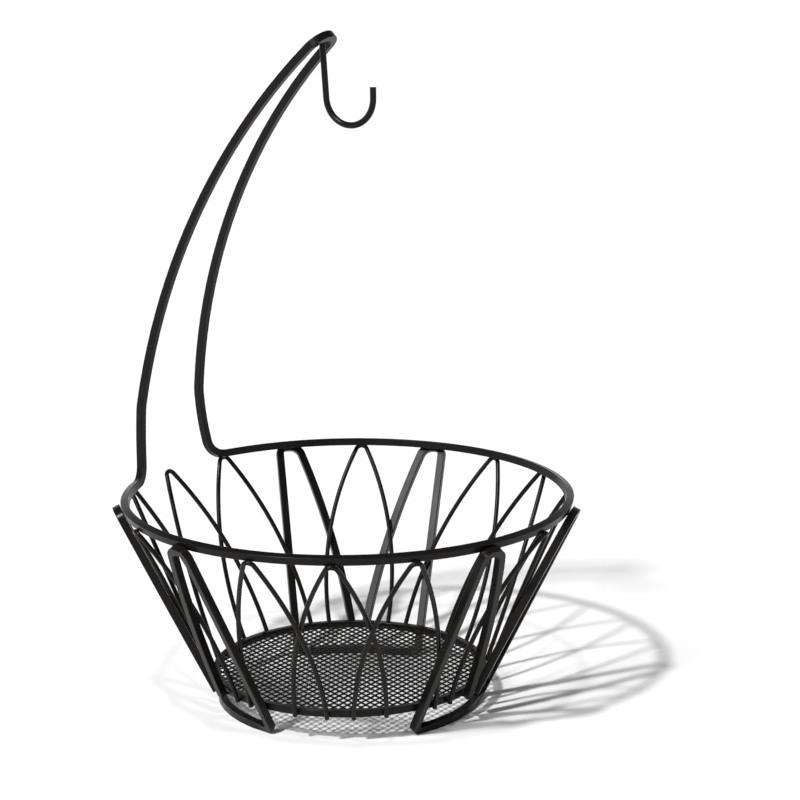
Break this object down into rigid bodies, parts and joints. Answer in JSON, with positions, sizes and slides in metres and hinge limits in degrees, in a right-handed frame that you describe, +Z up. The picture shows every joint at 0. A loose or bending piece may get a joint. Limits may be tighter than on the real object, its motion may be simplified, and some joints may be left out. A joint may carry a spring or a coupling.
{
  "type": "fruit bowl with banana hanger",
  "caption": "Round wire fruit bowl with looped wall wires on foot bars, a mesh base, and a tall arched hanger with a hook for bananas.",
  "frame": {"origin": "on the table under the middle of the bowl", "axes": "+Z up, +Y to the back where the hanger rises, +X to the right seen from the front"},
  "size_m": [0.2988, 0.2949, 0.4322],
  "materials": {
    "coated_wire": "satin black powder coat"
  },
  "bodies": {
    "root": {"rim_and_hanger": "coated_wire", "banana_hook": "coated_wire", "base_ring": "coated_wire", "base_mesh": "coated_wire", "foot_frame_1": "coated_wire", "foot_frame_2": "coated_wire", "foot_frame_3": "coated_wire", "pair_loop_1": "coated_wire", "pair_loop_2": "coated_wire", "pair_loop_3": "coated_wire", "middle_loop_1": "coated_wire", "middle_loop_2": "coated_wire", "middle_loop_3": "coated_wire", "side_loop_left_1": "coated_wire", "side_loop_left_2": "coated_wire", "side_loop_left_3": "coated_wire", "side_loop_right_1": "coated_wire", "side_loop_right_2": "coated_wire", "side_loop_right_3": "coated_wire"}
  },
  "joints": []
}
